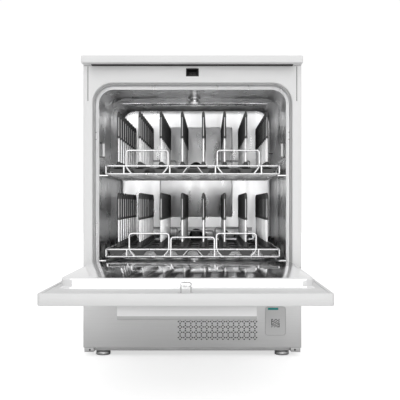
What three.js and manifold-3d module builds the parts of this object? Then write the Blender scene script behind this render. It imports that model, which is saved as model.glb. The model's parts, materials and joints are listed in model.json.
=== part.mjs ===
// Undercounter laboratory glassware washer, door open, two injector racks in the chamber.
// Millimetres, +Z up, front towards -Y. Depths are measured back from the body's front plane.
import * as THREE from 'three';
import { mergeVertices } from 'three/addons/utils/BufferGeometryUtils.js';
import Module from 'manifold-3d';

const wasm = await Module();
wasm.setup();

// ---- driving dimensions ----
const GAP = 0.3; // air between touching pieces
const SHEET = 1.5; // sheet metal thickness
const BODY_HALF = 306; // half width of the cabinet
const BODY_DEPTH = 723;
const BODY_BASE = 22; // underside of the cabinet above the floor
const BODY_TOP = 815;
const TOP_THICK = 20;
const TOP_OVERHANG = 42;
const FRAME_DEPTH = 25; // depth of the front frame's reveal
const PANEL_TOP = 213; // top of the lower service panel
const SILL_TOP = 229; // lower edge of the door opening
const SILL_SETBACK = 4.2; // the sill stands back so that the door's edge can swing past
const RECESS_TOP = 249;
const MOUTH = { half: 280, top: 766, radius: 56 }; // door opening in the front frame
const LIP = { half: 265, top: 750, radius: 40 }; // chamber's own mouth
const ROOM = { half: 268, floor: 225, ceiling: 765, back: 600, radius: 45 }; // chamber inside
const CENTRE_DEPTH = 312; // spray arms and sump
const SIDE_FOLD = 12; // folded edge of each side panel
const STIFFENER = { x: 150, half: 10, low: 80, top: 760, deep: 10.5 };
const CONNECTOR_HOLE = { first: 120, pitch: 60, size: 32, low: 70 };
const FLANGE = { half: 299, low: 216, thick: 2 };
const SUMP = { radius: 112, floor: 175 };
const PORT = { radius: 18, bore: 12, front: 586 };
const HUB = { top: 14, low: 12, topEnd: 752.5, lowEnd: 245.5 };
const VENT = { x: 70.5, z: 72, pitch: 15, columns: 15, half: 4, reach: 28 };
const PLINTH = { depth: 52, low: 9, inset: 14 };
const FOOT = { x: 253, front: 26, rear: 680, pad: 20.5, padTop: 11, stem: 9, stemLow: 20 };
const RUNNER = { lip: 243, low: 506.6, shelf: 508.8, top: 560, front: 40, back: 590, sheet: 2 };
const HEATER = { z: 196, radius: 84, rod: 5 };
const WASH_PUMP = { depth: 420, z: 102, motor: 52, volute: 66, inlet: 24 };
const DRAIN_PUMP = { depth: 200, z: 96, motor: 30, volute: 38 };
const PUMP_STAND = 30; // underside of the pump stands
const CONTROLS_BOX = { x0: -270, x1: -70, front: 60, back: 200, low: 32, top: 150, lid: 12 };

const HINGE = { depth: -18.3, z: 230 };
const DOOR = { half: 303, below: 15, reach: 581, outer: -11.7, inner: 14.3, radius: 9 };
const LINER = { half: 277, near: 3, far: 479, top: 36.2, radius: 31, plate: 12.3 };
const HANDLE = { half: 150, radius: 487, drop: 43, lip: 12, thick: 3.5 };
const STRIKER = { radius: 565, half: 10.5, wire: 1.5, top: 37, rung: 28, foot: 17 };
const LOCK = { half: 18, low: 784, high: 807, deep: 46, wall: 3 };
const BRACKET = { near: 290, far: 300.5, reach: 7, pin: 4, pinEnd: 281 };
const EAR = { near: 279.5, far: 288.5, reach: 14, top: 10, bore: 4.6 };
const CONTROL = { half: 150, near: 512, far: 556 };
const BUTTON = { radius: 8, travel: 1.5, x: 120 };

const PITCH = 61; // injector spacing both ways
const COLUMNS = 8;
const ROWS = 9;
const INJECTOR = { radius: 3.5, height: 154, tip: 17 };
const RACK_FRONT = 33; // depth of the front wires with the rack pushed home
const RACK_REAR = 581;
const FIRST_ROW = RACK_FRONT + 30;
const RACK_HALF = 247.5; // to the middle of the side wires
const WIRE = 2.5; // wire radius
const ROD_SIDES = 4;
const LOWER = { bottom: 276, rail: 296.6, tray: 300, skirt: 279, hoop: 342, middle: 331, dock: 314 };
const UPPER = { bottom: 511.8, rail: 534.7, tray: 531, skirt: 514, hoop: 579, dock: 552 };
const ARM = { topZ: 742, topReach: 232, lowZ: 246, lowReach: 224, thick: 10, root: 20, tip: 12, hub: 26 };
const TRAY = { half: 240, sheet: 2, slotHalf: 17, front: FIRST_ROW - 20, back: RACK_REAR - 9 };
const SPIGOT = { radius: 9, end: 594, riser: 14, above: 12 };
const WHEEL = { radius: 23, width: 11, x: 257.5, z: 289.6, bore: 3.6, axle: 3 };
const WHEEL_DEPTHS = [70, 194, 420, 544];
const LEDGE_TOP = 266.2;

// the open door reaches further forward than the body, and the origin is the middle of the whole
const FRONT_Y = (DOOR.reach - HINGE.depth - BODY_DEPTH) / 2;
const at = (depth) => FRONT_Y + depth;
const doorY = (radius) => at(HINGE.depth) - radius;
const doorZ = (rise) => HINGE.z + rise;

// ---- finishes ----
const finish = (color, roughness, metalness) => ({ color, roughness, metalness });
const STEEL = finish(0xb9bbbc, 0.35, 0.9);
const MIRROR = finish(0xd0d2d3, 0.12, 1);
const WHITE = finish(0xe8e9e9, 0.45, 0);
const WIRE_STEEL = finish(0xdadcdd, 0.25, 0.9);
const DARK = finish(0x4b4d4f, 0.5, 0.1);
const BLACK = finish(0x141516, 0.45, 0);
const RUBBER = finish(0x2a2b2c, 0.8, 0);

// ---- solids ----
function solid(geometry) {
  const plain = geometry.clone();
  plain.deleteAttribute('normal');
  plain.deleteAttribute('uv');
  const merged = mergeVertices(plain, 1e-4);
  const vertProperties = new Float32Array(merged.attributes.position.array);
  const triVerts = new Uint32Array(merged.index.array);
  return new wasm.Manifold(new wasm.Mesh({ numProp: 3, vertProperties, triVerts }));
}

function toGeometry(manifold) {
  const mesh = manifold.getMesh();
  const geometry = new THREE.BufferGeometry();
  geometry.setAttribute('position', new THREE.BufferAttribute(mesh.vertProperties, 3));
  geometry.setIndex(new THREE.BufferAttribute(mesh.triVerts, 1));
  geometry.computeVertexNormals();
  return geometry;
}

function join(pieces) {
  return pieces.reduce((whole, piece) => whole.add(piece));
}

function cut(whole, pieces) {
  return pieces.reduce((left, piece) => left.subtract(piece), whole);
}

function box(x0, x1, y0, y1, z0, z1) {
  const geometry = new THREE.BoxGeometry(x1 - x0, y1 - y0, z1 - z0);
  geometry.translate((x0 + x1) / 2, (y0 + y1) / 2, (z0 + z1) / 2);
  return solid(geometry);
}

function extrude(shape, depth, segments) {
  const options = { depth, bevelEnabled: false, curveSegments: segments };
  return new THREE.ExtrudeGeometry(shape, options);
}

// outline in X and Z, from y0 back to y1
function alongY(shape, y0, y1, segments = 8) {
  const geometry = extrude(shape, y1 - y0, segments);
  geometry.rotateX(Math.PI / 2);
  geometry.translate(0, y1, 0);
  return solid(geometry);
}

// outline in Y and Z, from x0 across to x1
function alongX(shape, x0, x1, segments = 6) {
  const geometry = extrude(shape, x1 - x0, segments);
  const [toX, toY, toZ] = [[1, 0, 0], [0, 1, 0], [0, 0, 1]].map((v) => new THREE.Vector3(...v));
  geometry.applyMatrix4(new THREE.Matrix4().makeBasis(toY, toZ, toX));
  geometry.translate(x0, 0, 0);
  return solid(geometry);
}

// outline in X and Y, from z0 up to z1
function alongZ(shape, z0, z1, segments = 6) {
  const geometry = extrude(shape, z1 - z0, segments);
  geometry.translate(0, 0, z0);
  return solid(geometry);
}

function rod(from, to, radius, sides = 6) {
  const a = new THREE.Vector3(...from);
  const b = new THREE.Vector3(...to);
  const way = b.clone().sub(a);
  const geometry = new THREE.CylinderGeometry(radius, radius, way.length(), sides);
  const turn = new THREE.Quaternion().setFromUnitVectors(new THREE.Vector3(0, 1, 0), way.normalize());
  geometry.applyQuaternion(turn);
  const middle = a.add(b).multiplyScalar(0.5);
  geometry.translate(middle.x, middle.y, middle.z);
  return solid(geometry);
}

// a lathe solid standing on Z at x, y; the profile is [radius, height] pairs from axis to axis
function turned(profile, x, y, sides) {
  const points = profile.map(([r, z]) => new THREE.Vector2(r, z));
  const geometry = new THREE.LatheGeometry(points, sides);
  geometry.rotateX(Math.PI / 2);
  geometry.translate(x, y, 0);
  return solid(geometry);
}

function polygon(points) {
  return new THREE.Shape(points.map(([x, y]) => new THREE.Vector2(x, y)));
}

// a rectangle with its own radius on the low and the high corners
function rounded(x0, x1, y0, y1, low, high) {
  const shape = new THREE.Shape();
  shape.moveTo(x0 + low, y0);
  shape.lineTo(x1 - low, y0);
  if (low) shape.absarc(x1 - low, y0 + low, low, -Math.PI / 2, 0);
  shape.lineTo(x1, y1 - high);
  if (high) shape.absarc(x1 - high, y1 - high, high, 0, Math.PI / 2);
  shape.lineTo(x0 + high, y1);
  if (high) shape.absarc(x0 + high, y1 - high, high, Math.PI / 2, Math.PI);
  shape.lineTo(x0, y0 + low);
  if (low) shape.absarc(x0 + low, y0 + low, low, Math.PI, 1.5 * Math.PI);
  return shape;
}

// ---- the scene graph ----
const machine = new THREE.Group();

function addTo(group, name, manifold, look) {
  const mesh = new THREE.Mesh(toGeometry(manifold), new THREE.MeshStandardMaterial(look));
  mesh.name = name;
  group.add(mesh);
}

// ---- cabinet ----
const cabinet = new THREE.Group();
machine.add(cabinet);

function topPlate() {
  const top = BODY_TOP + TOP_THICK;
  const plan = rounded(-BODY_HALF, BODY_HALF, at(-TOP_OVERHANG), at(BODY_DEPTH), 6, 2);
  const inner = BODY_HALF - SHEET;
  const underBody = box(-inner, inner, at(SHEET), at(BODY_DEPTH - SHEET), BODY_TOP - 1, top - SHEET);
  const frontY = at(SHEET - TOP_OVERHANG);
  const underHang = box(-inner, inner, frontY, at(SHEET + 1), BODY_TOP + SHEET, top - SHEET);
  return cut(alongZ(plan, BODY_TOP, top), [underBody, underHang]);
}

function sidePanel(side) {
  const outer = side * BODY_HALF;
  const inner = side * (BODY_HALF - SHEET);
  const edge = side * (BODY_HALF - SIDE_FOLD);
  const [low, high] = [BODY_BASE, BODY_TOP - GAP];
  const profile = polygon([
    [outer, low], [outer, high], [edge, high], [edge, high - SHEET],
    [inner, high - SHEET], [inner, low + SHEET], [edge, low + SHEET], [edge, low],
  ]);
  return alongY(profile, at(FRAME_DEPTH + GAP), at(BODY_DEPTH - SHEET - GAP));
}

function rearPanel() {
  const plate = box(-BODY_HALF, BODY_HALF, at(BODY_DEPTH - SHEET), at(BODY_DEPTH), BODY_BASE, BODY_TOP - GAP);
  const stiffeners = [-1, 1].map((side) => {
    const x = side * STIFFENER.x;
    const [front, back] = [at(BODY_DEPTH - SHEET - STIFFENER.deep), at(BODY_DEPTH - 1)];
    return box(x - STIFFENER.half, x + STIFFENER.half, front, back, STIFFENER.low, STIFFENER.top);
  });
  const { first, pitch, size, low } = CONNECTOR_HOLE;
  const connectors = [0, 1, 2].map((place) => {
    const x = first + place * pitch;
    return box(x, x + size, at(BODY_DEPTH - 20), at(BODY_DEPTH + 5), low, low + size);
  });
  return cut(join([plate, ...stiffeners]), connectors);
}

function mouth(grow) {
  const half = MOUTH.half + grow;
  return rounded(-half, half, SILL_TOP - grow, MOUTH.top + grow, 8 + grow, MOUTH.radius + grow);
}

function frontFrame() {
  const [low, high] = [PANEL_TOP + GAP, BODY_TOP - GAP];
  const [front, back] = [at(0), at(FRAME_DEPTH - GAP)];
  const block = alongY(rounded(-BODY_HALF, BODY_HALF, low, high, 0, 5), front, back);
  const opening = alongY(mouth(0), front - 1, back + 1, 10);
  const setback = box(-400, 400, front - 1, at(SILL_SETBACK), 0, RECESS_TOP);
  const sleeve = alongY(mouth(SHEET), front - 1, back + 2, 10);
  const inner = BODY_HALF - SHEET;
  const upper = box(-inner, inner, at(SHEET), back + 1, RECESS_TOP + SHEET, high - SHEET);
  const lower = box(-inner, inner, at(SILL_SETBACK + SHEET), back + 1, low + SHEET, RECESS_TOP + 2 * SHEET);
  const pocket = upper.add(lower).subtract(sleeve);
  const socket = box(-LOCK.half, LOCK.half, front - 1, at(10), LOCK.low, LOCK.high);
  return cut(block, [opening, setback, pocket, socket]);
}

function lockHousing() {
  const { wall, deep } = LOCK;
  const half = LOCK.half - GAP;
  const [low, high] = [LOCK.low + GAP, LOCK.high - GAP];
  const block = box(-half, half, at(0.8), at(deep), low, high);
  const cavity = box(wall - half, half - wall, at(0), at(deep - 8), low + wall, high - wall);
  const hook = box(-4, 4, at(21), at(deep - 7), low + wall - 1, high - 2 * wall);
  return block.subtract(cavity).add(hook);
}

function port(z) {
  const outer = rod([0, at(PORT.front), z], [0, at(ROOM.back + 1), z], PORT.radius, 16);
  const bore = rod([0, at(PORT.front - 6), z], [0, at(ROOM.back - 1), z], PORT.bore, 16);
  return { outer, bore };
}

function chamber() {
  const outline = (grow) => rounded(
    -ROOM.half - grow, ROOM.half + grow, ROOM.floor - grow, ROOM.ceiling + grow,
    20 + grow, ROOM.radius + grow);
  const flangeBack = at(FRAME_DEPTH + FLANGE.thick);
  const flange = box(-FLANGE.half, FLANGE.half, at(FRAME_DEPTH), flangeBack, FLANGE.low, LOCK.low - 4);
  const tub = alongY(outline(SHEET), flangeBack - 1, at(ROOM.back + SHEET), 6);
  const room = alongY(outline(0), flangeBack, at(ROOM.back), 6);
  const lip = rounded(-LIP.half, LIP.half, SILL_TOP, LIP.top, 8, LIP.radius);
  const lipHole = alongY(lip, at(FRAME_DEPTH - 2), flangeBack + 1, 10);
  const well = (radius, floor, top) => turned(
    [[0, floor], [radius, floor], [radius, top], [0, top]], 0, at(CENTRE_DEPTH), 24);
  const sumpOut = well(SUMP.radius + SHEET, SUMP.floor - SHEET, ROOM.floor - 0.5);
  const sumpIn = well(SUMP.radius, SUMP.floor, ROOM.floor + 1);
  const ledges = [-1, 1].map((side) => {
    const [x0, x1] = [side * 246, side * (ROOM.half + 0.5)].sort((a, b) => a - b);
    return box(x0, x1, flangeBack - 1, at(ROOM.back + 0.5), LEDGE_TOP - 4, LEDGE_TOP);
  });
  const ports = [port(LOWER.dock), port(UPPER.dock)];
  const hub = (low, top, radius) => rod([0, at(CENTRE_DEPTH), low], [0, at(CENTRE_DEPTH), top], radius, 12);
  const topHub = hub(HUB.topEnd, ROOM.ceiling + 0.5, HUB.top);
  const lowHub = hub(SUMP.floor - 0.5, HUB.lowEnd, HUB.low);
  const hollow = room.add(sumpIn).add(lipHole);
  const shell = tub.add(flange).add(sumpOut).subtract(hollow);
  const fitted = join([shell, ...ledges, topHub, lowHub, ...ports.map((p) => p.outer)]);
  return cut(fitted, ports.map((p) => p.bore));
}

function doorGasket() {
  const [front, back] = [at(18.9), at(FRAME_DEPTH - GAP)];
  const outer = alongY(mouth(-GAP), front, back, 6);
  const inner = alongY(mouth(-4), front - 1, back + 1, 6);
  return outer.subtract(inner);
}

function lowerPanel() {
  const half = BODY_HALF;
  const [low, high] = [BODY_BASE + 0.5, PANEL_TOP];
  const face = rounded(-half, half, low, high, 4, 2);
  const slots = [];
  for (let column = 0; column < VENT.columns; column += 1) {
    const x = VENT.x + (column - (VENT.columns - 1) / 2) * VENT.pitch;
    slots.push(box(x - VENT.half, x + VENT.half, at(-5), at(5), VENT.z - VENT.reach, VENT.z + VENT.reach));
  }
  const sheet = cut(alongY(face, at(0), at(SHEET)), slots);
  const inner = half - SHEET;
  const rim = box(-half, half, at(SHEET - 0.5), at(FRAME_DEPTH - 4), low + 4, high);
  const pocket = box(-inner, inner, at(-5), at(FRAME_DEPTH), low + 4 + SHEET, high - SHEET);
  return sheet.add(rim.subtract(pocket));
}

function basePan() {
  const half = BODY_HALF - 2 * SHEET;
  const wall = 2;
  const [front, back] = [at(FRAME_DEPTH + 1), at(BODY_DEPTH - 4)];
  const [low, high] = [BODY_BASE + wall, BODY_BASE + 26];
  const tray = box(-half, half, front, back, low, high);
  const hollow = box(-half + wall, half - wall, front + wall, back - wall, low + wall, high + 1);
  const reach = half - PLINTH.inset;
  const plinth = box(-reach, reach, at(PLINTH.depth), at(PLINTH.depth + wall), PLINTH.low, low + 1);
  return tray.subtract(hollow).add(plinth);
}

function foot(x, depth) {
  const { pad, padTop, stem, stemLow } = FOOT;
  const top = BODY_BASE + 2 - GAP;
  const profile = [
    [0, 0], [pad, 0], [pad, padTop], [pad - 4.5, padTop + 2], [stem, stemLow], [stem, top], [0, top],
  ];
  return turned(profile, x, at(depth), 12);
}

function upperRail(side) {
  const { lip, low, shelf, top, front, back, sheet } = RUNNER;
  const wall = side * (ROOM.half - GAP);
  const web = wall - side * sheet;
  const edge = side * lip;
  const profile = polygon([[wall, low], [wall, top], [web, top], [web, shelf], [edge, shelf], [edge, low]]);
  return alongY(profile, at(front), at(back));
}

function hingeBracket(side) {
  const { near, far, reach } = BRACKET;
  const [x0, x1] = [side * near, side * far].sort((a, b) => a - b);
  const [y, z] = [at(HINGE.depth), HINGE.z];
  const root = at(SILL_SETBACK) - GAP;
  const shape = new THREE.Shape();
  shape.moveTo(root, z - reach);
  shape.lineTo(root, z + reach);
  shape.lineTo(y, z + reach);
  shape.absarc(y, z, reach, Math.PI / 2, 1.5 * Math.PI);
  const arm = alongX(shape, x0, x1, 10);
  const pin = rod([side * BRACKET.pinEnd, y, z], [side * (near + 1), y, z], BRACKET.pin, 12);
  return arm.add(pin);
}

// a flat dish that covers the well, with a short neck round the lower spray hub
function sumpFilter() {
  const neck = { bore: 14, wall: 28, low: 218 };
  const dish = { radius: 108, low: 222, rim: 224.5, crown: 226.5 };
  const profile = [
    [neck.bore, neck.low], [neck.wall, neck.low], [neck.wall, dish.low], [dish.radius - 2, dish.low],
    [dish.radius, dish.rim], [neck.wall + 2, dish.crown], [neck.bore, dish.crown], [neck.bore, neck.low],
  ];
  return turned(profile, 0, at(CENTRE_DEPTH), 16);
}

class ArcPath extends THREE.Curve {
  constructor(centre, radius, start, sweep) {
    super();
    Object.assign(this, { centre, radius, start, sweep });
  }

  getPoint(t) {
    const angle = this.start + this.sweep * t;
    const spoke = new THREE.Vector3(Math.cos(angle), Math.sin(angle), 0);
    return spoke.multiplyScalar(this.radius).add(this.centre);
  }
}

// an open ring, so that its two ends can leave through the well's wall
function sumpHeater() {
  const centre = new THREE.Vector3(0, at(CENTRE_DEPTH), HEATER.z);
  const path = new ArcPath(centre, HEATER.radius, -0.42 * Math.PI, 1.8 * Math.PI);
  const section = new THREE.Shape();
  section.absarc(0, 0, HEATER.rod, 0, 2 * Math.PI);
  const options = { extrudePath: path, steps: 16, curveSegments: 3, bevelEnabled: false };
  return solid(new THREE.ExtrudeGeometry(section, options));
}

function washPump() {
  const { z, motor, volute, inlet } = WASH_PUMP;
  const y = at(WASH_PUMP.depth);
  const drum = (x0, x1, radius, sides) => rod([x0, y, z], [x1, y, z], radius, sides);
  const outlet = box(-16, 22, y + 30, y + 96, z + 20, z + 56);
  const stand = box(-150, 10, y - 45, y + 45, PUMP_STAND, z - 22);
  const drums = [drum(-170, -20, motor, 16), drum(-22, 28, volute, 20), drum(20, 60, inlet, 12)];
  return join([...drums, outlet, stand]);
}

function drainPump() {
  const { z, motor, volute } = DRAIN_PUMP;
  const y = at(DRAIN_PUMP.depth);
  const drum = (x0, x1, radius, sides) => rod([x0, y, z], [x1, y, z], radius, sides);
  const spout = box(94, 114, y + 20, y + 60, z, z + 24);
  const stand = box(96, 180, y - 26, y + 26, PUMP_STAND, z - 22);
  return join([drum(120, 190, motor, 12), drum(88, 122, volute, 14), spout, stand]);
}

function controlBox() {
  const { x0, x1, front, back, low, top, lid } = CONTROLS_BOX;
  const body = box(x0, x1, at(front), at(back), low, top);
  const cover = box(x0 - 2, x1 + 2, at(front - 2), at(back + 2), top - lid, top + 2);
  const sockets = [0, 1, 2].map((place) => {
    const x = x0 + 35 + place * 55;
    return box(x, x + 36, at(back - 1), at(back + 14), 60, 90);
  });
  return join([body, cover, ...sockets]);
}

addTo(cabinet, 'top_plate', topPlate(), WHITE);
for (const [name, side] of [['left', -1], ['right', 1]]) {
  addTo(cabinet, `side_panel_${name}`, sidePanel(side), STEEL);
  addTo(cabinet, `upper_rail_${name}`, upperRail(side), STEEL);
  addTo(cabinet, `hinge_bracket_${name}`, hingeBracket(side), STEEL);
  addTo(cabinet, `foot_front_${name}`, foot(side * FOOT.x, FOOT.front), STEEL);
  addTo(cabinet, `foot_rear_${name}`, foot(side * FOOT.x, FOOT.rear), STEEL);
}
addTo(cabinet, 'rear_panel', rearPanel(), STEEL);
addTo(cabinet, 'front_frame', frontFrame(), WHITE);
addTo(cabinet, 'lock_housing', lockHousing(), BLACK);
addTo(cabinet, 'chamber', chamber(), MIRROR);
addTo(cabinet, 'door_gasket', doorGasket(), RUBBER);
addTo(cabinet, 'lower_panel', lowerPanel(), STEEL);
addTo(cabinet, 'base_pan', basePan(), STEEL);
addTo(cabinet, 'sump_filter', sumpFilter(), STEEL);
addTo(cabinet, 'sump_heater', sumpHeater(), STEEL);
addTo(cabinet, 'wash_pump', washPump(), DARK);
addTo(cabinet, 'drain_pump', drainPump(), DARK);
addTo(cabinet, 'control_box', controlBox(), DARK);

// ---- door, open: radius runs forward from the hinge axis, rise is above it ----
const door = new THREE.Group();
machine.add(door);

function doorBox(x0, x1, r0, r1, t0, t1) {
  return box(x0, x1, doorY(r1), doorY(r0), doorZ(t0), doorZ(t1));
}

// clear the cabinet's hinge brackets
function hingeNotches() {
  return [-1, 1].map((side) => {
    const [x0, x1] = [side * (BRACKET.near - 1), side * (BRACKET.far + 1)].sort((a, b) => a - b);
    return doorBox(x0, x1, -20, BRACKET.reach + 1.5, DOOR.outer + 1.9, 30);
  });
}

function doorShell() {
  const plan = rounded(-DOOR.half, DOOR.half, doorY(DOOR.reach), doorY(-DOOR.below), DOOR.radius, 3);
  const slab = alongZ(plan, doorZ(DOOR.outer), doorZ(DOOR.inner));
  const inner = DOOR.half - SHEET;
  const [near, far] = [SHEET - DOOR.below, DOOR.reach - SHEET];
  const hollow = doorBox(-inner, inner, near, far, DOOR.outer + SHEET, LINER.plate + GAP);
  const rim = 8;
  const opening = doorBox(-DOOR.half + rim, DOOR.half - rim, rim - DOOR.below, DOOR.reach - rim, 0, 20);
  const ears = [-1, 1].map((side) => {
    const [x0, x1] = [side * EAR.near, side * EAR.far].sort((a, b) => a - b);
    return doorBox(x0, x1, near - 0.5, EAR.reach, DOOR.outer + 1, EAR.top);
  });
  const bores = [-1, 1].map((side) => {
    const [start, end] = [side * (EAR.near - 9), side * (EAR.far + 7)];
    return rod([start, doorY(0), doorZ(0)], [end, doorY(0), doorZ(0)], EAR.bore, 12);
  });
  const window = doorBox(-CONTROL.half - GAP, CONTROL.half + GAP,
    CONTROL.near - GAP, CONTROL.far + GAP, -20, DOOR.outer + 3);
  const pan = cut(slab, [hollow, opening]);
  return cut(join([pan, ...ears]), [...bores, ...hingeNotches(), window]);
}

function doorLiner() {
  const edge = DOOR.half - 2 * SHEET;
  const plate = doorBox(-edge, edge, 2 * SHEET - DOOR.below, DOOR.reach - 2 * SHEET,
    LINER.plate - SHEET, LINER.plate);
  const plan = (shrink) => rounded(-LINER.half + shrink, LINER.half - shrink,
    doorY(LINER.far - shrink), doorY(LINER.near + shrink), LINER.radius - shrink, 8 - shrink);
  const block = alongZ(plan(0), doorZ(LINER.plate - 0.5), doorZ(LINER.top), 8);
  const hollow = alongZ(plan(SHEET), doorZ(0), doorZ(LINER.top - SHEET), 8);
  const clearEars = [-1, 1].map((side) => {
    const [x0, x1] = [side * (EAR.near - 1.5), side * 320].sort((a, b) => a - b);
    return doorBox(x0, x1, -20, EAR.reach + 1, 0, 20);
  });
  return cut(plate.add(block), [hollow, ...clearEars]);
}

function doorStriker() {
  const { radius, half, wire, top, rung, foot: footHalf } = STRIKER;
  const seat = LINER.plate + GAP;
  const base = doorBox(-footHalf, footHalf, radius - 8, radius + 8, seat, seat + 1.4);
  const post = (x) => rod([x, doorY(radius), doorZ(seat + 0.7)], [x, doorY(radius), doorZ(top)], wire, 8);
  const bar = (rise) => rod([-half, doorY(radius), doorZ(rise)], [half, doorY(radius), doorZ(rise)], wire, 8);
  return join([base, post(-half), post(half), bar(top - wire), bar(rung)]);
}

// a leaning web that curls round into a lip, as [radius, rise] pairs
function handleProfile() {
  const { radius, drop, lip, thick } = HANDLE;
  const root = DOOR.outer - GAP;
  const bendRise = DOOR.outer - drop + lip;
  const bendCentre = radius + 6 - lip;
  const flange = radius - 14;
  const steps = 5;
  const outside = [];
  const inside = [];
  for (let step = 0; step <= steps; step += 1) {
    const angle = (step / steps) * 0.75 * Math.PI;
    const place = (r) => [bendCentre + r * Math.cos(angle), bendRise - r * Math.sin(angle)];
    outside.push(place(lip));
    inside.unshift(place(lip - thick));
  }
  const under = [[radius - thick, root - 5], [flange, root - 3]];
  return [[flange, root], [radius, root], ...outside, ...inside, ...under];
}

function doorHandle() {
  const outline = handleProfile().map(([r, t]) => [doorY(r), doorZ(t)]);
  return alongX(polygon(outline), -HANDLE.half, HANDLE.half);
}

function controlPanel() {
  const { half, near, far } = CONTROL;
  const plate = doorBox(-half, half, near, far, DOOR.outer + 0.2, DOOR.outer + 5);
  const middle = (near + far) / 2;
  const holes = [-BUTTON.x, BUTTON.x].map((x) => rod([x, doorY(middle), doorZ(-30)],
    [x, doorY(middle), doorZ(0)], BUTTON.radius + 0.6, 16));
  return cut(plate, holes);
}

function pushButton(x) {
  const y = doorY((CONTROL.near + CONTROL.far) / 2);
  const face = doorZ(DOOR.outer - BUTTON.travel - 0.4);
  const back = doorZ(DOOR.outer + 6);
  const { radius } = BUTTON;
  const profile = [[0, face], [radius - 1, face], [radius, face + 1], [radius, back], [0, back]];
  return turned(profile, x, y, 16);
}

addTo(door, 'door_shell', doorShell(), WHITE);
addTo(door, 'door_liner', doorLiner(), MIRROR);
addTo(door, 'door_striker', doorStriker(), WIRE_STEEL);
addTo(door, 'door_handle', doorHandle(), STEEL);
addTo(door, 'control_panel', controlPanel(), BLACK);
addTo(door, 'power_button', pushButton(-BUTTON.x), STEEL);
addTo(door, 'start_button', pushButton(BUTTON.x), STEEL);

// ---- spray arms ----
function sprayArm(low, reach) {
  const { thick, root, tip, hub } = ARM;
  const blade = (turn) => {
    const shape = new THREE.Shape();
    shape.moveTo(0, -root);
    shape.lineTo(reach - tip, -tip);
    shape.absarc(reach - tip, 0, tip, -Math.PI / 2, Math.PI / 2);
    shape.lineTo(0, root);
    const geometry = extrude(shape, thick, 5);
    geometry.rotateZ(turn);
    geometry.translate(0, at(CENTRE_DEPTH), low);
    return solid(geometry);
  };
  const middle = rod([0, at(CENTRE_DEPTH), low], [0, at(CENTRE_DEPTH), low + thick], hub, 16);
  return join([blade(0), blade(Math.PI), middle]);
}

addTo(machine, 'top_spray_arm', sprayArm(ARM.topZ, ARM.topReach), STEEL);
addTo(machine, 'bottom_spray_arm', sprayArm(ARM.lowZ, ARM.lowReach), STEEL);

// ---- racks, pushed home ----
const columnX = (column) => (column - (COLUMNS - 1) / 2) * PITCH;

// an upright frame of wire whose legs lean inwards below the rack's rail
function hoop(x0, x1, depth, low, top, lean) {
  const y = at(depth);
  const knee = low + 20;
  const points = [
    [x0 + lean, y, low], [x0, y, knee], [x0, y, top], [x1, y, top], [x1, y, knee], [x1 - lean, y, low],
  ];
  return points.slice(1).map((point, index) => rod(points[index], point, WIRE, ROD_SIDES));
}

function ring(z) {
  const [front, back] = [at(RACK_FRONT), at(RACK_REAR)];
  const half = RACK_HALF;
  const corners = [[-half, front, z], [half, front, z], [half, back, z], [-half, back, z]];
  return corners.map((corner, index) => rod(corner, corners[(index + 1) % 4], WIRE, ROD_SIDES));
}

function posts(level) {
  const ends = [-1, 1].flatMap((side) => [62.5, 188, RACK_HALF].map((x) => side * x));
  const sides = [150, 310, 460];
  const upright = (x, y) => rod([x, y, level.bottom], [x, y, level.rail], WIRE, ROD_SIDES);
  return [
    ...ends.flatMap((x) => [upright(x, at(RACK_FRONT)), upright(x, at(RACK_REAR))]),
    ...sides.flatMap((depth) => [upright(-RACK_HALF, at(depth)), upright(RACK_HALF, at(depth))]),
  ];
}

function axles() {
  return [-1, 1].flatMap((side) => WHEEL_DEPTHS.flatMap((depth) => {
    const y = at(depth);
    const [x0, x1] = [side * (RACK_HALF - 2), side * (RACK_HALF + 3)].sort((a, b) => a - b);
    const plate = box(x0, x1, y - 8, y + 8, LOWER.bottom - 1, LOWER.rail + 1);
    return [plate, rod([side * RACK_HALF, y, WHEEL.z], [side * 264, y, WHEEL.z], WHEEL.axle, 6)];
  }));
}

function rackFrame(level, extra) {
  const hoops = [RACK_FRONT, RACK_REAR].flatMap((depth) => [
    ...hoop(-level.hoopFar, -level.hoopNear, depth, level.bottom, level.hoop, 6),
    ...hoop(level.hoopNear, level.hoopFar, depth, level.bottom, level.hoop, 6),
  ]);
  return join([...ring(level.bottom), ...ring(level.rail), ...posts(level), ...hoops, ...extra]);
}

// the deck, its arched front and rear skirts, and the spigot that docks on the back wall
function rackTray(level) {
  const { half, sheet, slotHalf } = TRAY;
  const [front, back] = [at(TRAY.front), at(TRAY.back)];
  const lanes = Array.from({ length: COLUMNS - 1 }, (_, lane) => columnX(lane) + PITCH / 2);
  const slots = lanes.map((x) => (
    box(x - slotHalf, x + slotHalf, front + 18, back - 26, level.tray - 5, level.tray + 5)));
  const deck = cut(alongZ(rounded(-half, half, front, back, 3, 3), level.tray - sheet, level.tray), slots);
  const rise = level.tray - level.skirt - 3;
  const arch = [[-22, 0], [-slotHalf, 0.8], [slotHalf, 0.8], [22, 0]];
  const arches = lanes.flatMap((middle) => arch.map(([x, part]) => [middle + x, level.skirt + part * rise]));
  const under = level.tray - 1;
  const ends = [[-half, under], [-half, level.skirt], ...arches, [half, level.skirt], [half, under]];
  const skirt = polygon(ends);
  const skirts = [front, back - sheet].map((y) => alongY(skirt, y, y + sheet));
  const { riser, above } = SPIGOT;
  const post = box(-riser, riser, back - 12, back, under, level.dock + above);
  const spigot = rod([0, back - 6, level.dock], [0, at(SPIGOT.end), level.dock], SPIGOT.radius, 12);
  return join([deck, ...skirts, post, spigot]);
}

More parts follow.
